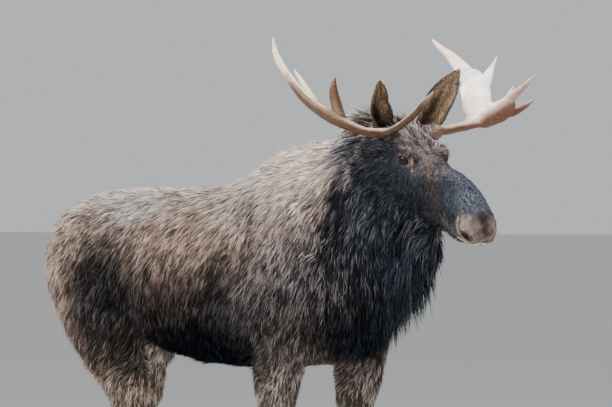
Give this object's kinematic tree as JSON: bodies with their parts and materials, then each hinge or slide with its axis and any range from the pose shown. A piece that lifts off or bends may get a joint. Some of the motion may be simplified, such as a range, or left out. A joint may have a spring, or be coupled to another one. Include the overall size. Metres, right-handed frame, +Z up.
{
  "type": "moose",
  "caption": "Life-size standing young bull moose, head turned to its right, with small palmed antlers, long nose, cupped ears and a bell under the throat.",
  "frame": {"origin": "centre of the bounding box on the floor below the animal", "axes": "+X towards the way the body faces, +Y to the animal's left, +Z up"},
  "size_m": [2.3388, 0.8238, 2.2569],
  "materials": {
    "coat": "thick grizzled grey-brown hair",
    "dark_coat": "long blackish hair",
    "shank": "short grey-brown hair",
    "antler": "bare antler, satin, paler on palms and tips",
    "horn": "dark hoof horn, finely ridged",
    "eye": "wet dark brown eye"
  },
  "bodies": {
    "root": {"antler_left_beam": "antler", "antler_left_brow_palm": "antler", "antler_left_palm": "antler", "antler_right_beam": "antler", "antler_right_brow_tine": "antler", "antler_right_palm": "antler", "bell": "dark_coat", "dewclaw_foreleg_left_inner": "horn", "dewclaw_foreleg_left_outer": "horn", "dewclaw_foreleg_right_inner": "horn", "dewclaw_foreleg_right_outer": "horn", "dewclaw_hind_leg_left_inner": "horn", "dewclaw_hind_leg_left_outer": "horn", "dewclaw_hind_leg_right_inner": "horn", "dewclaw_hind_leg_right_outer": "horn", "ear_left": "coat", "ear_right": "coat", "eye_left": "eye", "eye_right": "eye", "foreleg_left": "coat", "foreleg_left_shank": "shank", "foreleg_right": "coat", "foreleg_right_shank": "shank", "head": "coat", "hind_leg_left": "coat", "hind_leg_left_shank": "shank", "hind_leg_right": "coat", "hind_leg_right_shank": "shank", "hoof_foreleg_left_inner": "horn", "hoof_foreleg_left_outer": "horn", "hoof_foreleg_right_inner": "horn", "hoof_foreleg_right_outer": "horn", "hoof_hind_leg_left_inner": "horn", "hoof_hind_leg_left_outer": "horn", "hoof_hind_leg_right_inner": "horn", "hoof_hind_leg_right_outer": "horn", "lower_jaw": "dark_coat", "neck": "coat", "tail": "coat", "trunk": "coat"}
  },
  "joints": []
}
